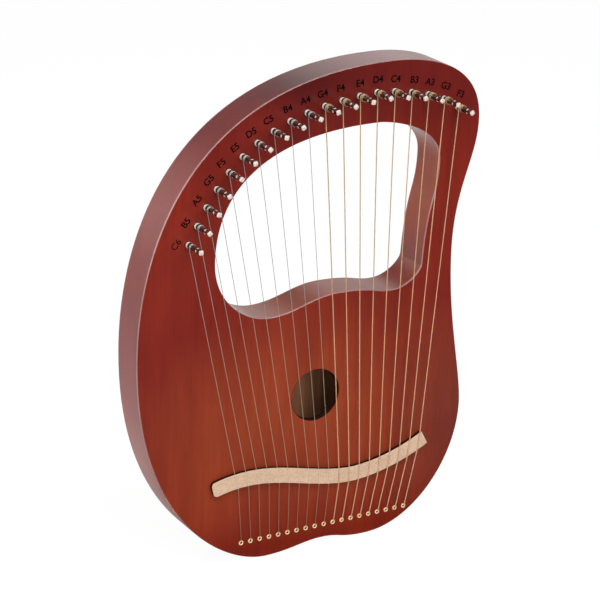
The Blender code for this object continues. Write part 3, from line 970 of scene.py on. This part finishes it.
def make_labels():
    """Each note's name is printed outside its pin, leaning with the arc."""
    outwards = left_normals(pins, closed=False)
    for note, pin, out in zip(notes, pins, outwards):
        along = Vector((out.y, -out.x))
        place = pin + out * LABEL_OUT + along * LABEL_SLIDES.get(note, 0) * MM
        text = bpy.data.curves.new(f"label_{note}", "FONT")
        text.body = note.upper()
        text.size = LABEL_SIZE
        text.align_x = "CENTER"
        text.align_y = "CENTER"
        text.offset = HIGHEST_LABEL_WEIGHT if note == notes[0] else LABEL_WEIGHT
        text.extrude = LABEL_LIFT / 2
        text.materials.append(INK)
        label = bpy.data.objects.new(f"label_{note}", text)
        bpy.context.scene.collection.objects.link(label)
        label.location = at(place, LABEL_LIFT)
        lean = LABEL_LEAN * math.atan2(along.y, along.x)
        label.rotation_euler = (math.radians(90), -lean, 0)
        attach(label, "root")


# The frame's nodes inside the body, which show through the sound hole

def dress_inner_nodes():
    """Gives every CAD node that is still shown its material."""
    for name, node in frame["nodes"].items():
        if not node.hide_render:
            node.data.materials.clear()
            node.data.materials.append(DARK_EDGE if name == "sound_hole_ring" else WOOD)


# Studio

def make_floor():
    """White paper with a faint soft shadow. Gloss sees it bright behind the harp and dim before it."""
    n = material_nodes("paper floor")
    n.set(Base_Color=(*grey(FLOOR_WHITE), 1), Roughness=0.9)
    output = n.tree.nodes["Material Output"]
    path = n.add("ShaderNodeLightPath")
    faint = n.add("ShaderNodeBsdfDiffuse", {"Color": (*grey(SHADOW_SHARE), 1)})
    paper = n.add("ShaderNodeEmission", {"Strength": PAPER_GLOW})
    seen = n.add("ShaderNodeAddShader")
    n.put(seen, 0, faint.outputs[0])
    n.put(seen, 1, paper.outputs[0])
    place = n.add("ShaderNodeNewGeometry").outputs["Position"]
    depth = n.add("ShaderNodeSeparateXYZ", {"Vector": place}).outputs["Y"]
    mirrored = n.add("ShaderNodeEmission", {"Strength": n.fade(depth, FLOOR_BRIGHTENS, FLOOR_DIM)})
    for_gloss = n.add("ShaderNodeMixShader", {0: path.outputs["Is Glossy Ray"]})
    n.put(for_gloss, 1, n.shader.outputs[0])
    n.put(for_gloss, 2, mirrored.outputs[0])
    for_camera = n.add("ShaderNodeMixShader", {0: path.outputs["Is Camera Ray"]})
    n.put(for_camera, 1, for_gloss.outputs[0])
    n.put(for_camera, 2, seen.outputs[0])
    n.put(output, "Surface", for_camera.outputs[0])
    shape = bmesh.new()
    bmesh.ops.create_circle(shape, cap_ends=True, segments=FLOOR_SIDES, radius=FLOOR_RADIUS)
    mesh = bpy.data.meshes.new("floor")
    shape.to_mesh(mesh)
    shape.free()
    mesh.materials.append(n.owner)
    floor = bpy.data.objects.new("floor", mesh)
    bpy.context.scene.collection.objects.link(floor)


def make_world():
    """White to the camera; elsewhere bright behind the harp and dark in front of it.

    Gloss also sees a glow at the left.
    """
    world = bpy.data.worlds.new("studio")
    bpy.context.scene.world = world
    n = Nodes(world)
    n.tree.nodes.clear()
    path = n.add("ShaderNodeLightPath").outputs
    direction = n.add("ShaderNodeTexCoord").outputs["Generated"]
    part = n.add("ShaderNodeSeparateXYZ", {"Vector": direction}).outputs
    behind = n.fade(part["Z"], LOW_TO_HIGH, WORLD_BEHIND, WORLD_ABOVE)
    for_gloss = n.maths("MULTIPLY", path["Is Glossy Ray"], WORLD_LEFT)
    left = n.fade(part["X"], RIGHT_TO_LEFT, 0.0, for_gloss)
    left = n.maths("MULTIPLY", left, n.fade(part["Z"], LEFT_GLOW_RISES))
    light = n.fade(part["Y"], FRONT_TO_BACK, WORLD_FRONT, n.maths("ADD", behind, left))
    seen = n.add("ShaderNodeMix", {0: path["Is Camera Ray"], 2: light, 3: 1.0}).outputs[0]
    background = n.add("ShaderNodeBackground", {"Color": WHITE, "Strength": seen})
    n.add("ShaderNodeOutputWorld", {"Surface": background.outputs[0]})


def make_lamps():
    """Large soft lamps that all face the harp."""
    for name, place, size, power in LAMPS:
        light = bpy.data.lights.new(name, "AREA")
        light.shape = "RECTANGLE"
        light.size, light.size_y = size
        light.energy = power
        lamp = bpy.data.objects.new(name, light)
        lamp.location = place
        lamp.rotation_euler = (LAMPS_AIM - Vector(place)).to_track_quat("-Z", "Y").to_euler()
        bpy.context.scene.collection.objects.link(lamp)


def make_camera():
    """Stands the camera where the photograph was taken from, as fitted to it."""
    azimuth = math.radians(CAMERA_AZIMUTH)
    elevation = math.radians(CAMERA_ELEVATION)
    back = Vector((math.sin(azimuth) * math.cos(elevation),
                   -math.cos(azimuth) * math.cos(elevation),
                   math.sin(elevation)))
    right = Vector((0, 0, 1)).cross(back).normalized()
    up = back.cross(right)
    turn = Matrix.Rotation(math.radians(CAMERA_ROLL), 3, back)
    axes = Matrix((turn @ right, turn @ up, back)).transposed()
    data = bpy.data.cameras.new("camera")
    data.lens = CAMERA_LENS
    data.sensor_width = CAMERA_SENSOR
    data.clip_end = CAMERA_REACH
    camera = bpy.data.objects.new("camera", data)
    camera.matrix_world = Matrix.Translation(CAMERA_AIM + back * CAMERA_DISTANCE) @ axes.to_4x4()
    bpy.context.scene.collection.objects.link(camera)
    bpy.context.scene.camera = camera


make_shells()
make_bridge()
make_strings()
make_eyelets()
make_pins()
make_labels()
dress_inner_nodes()
make_floor()
make_world()
make_lamps()
make_camera()
bpy.context.scene.view_settings.view_transform = "Standard"
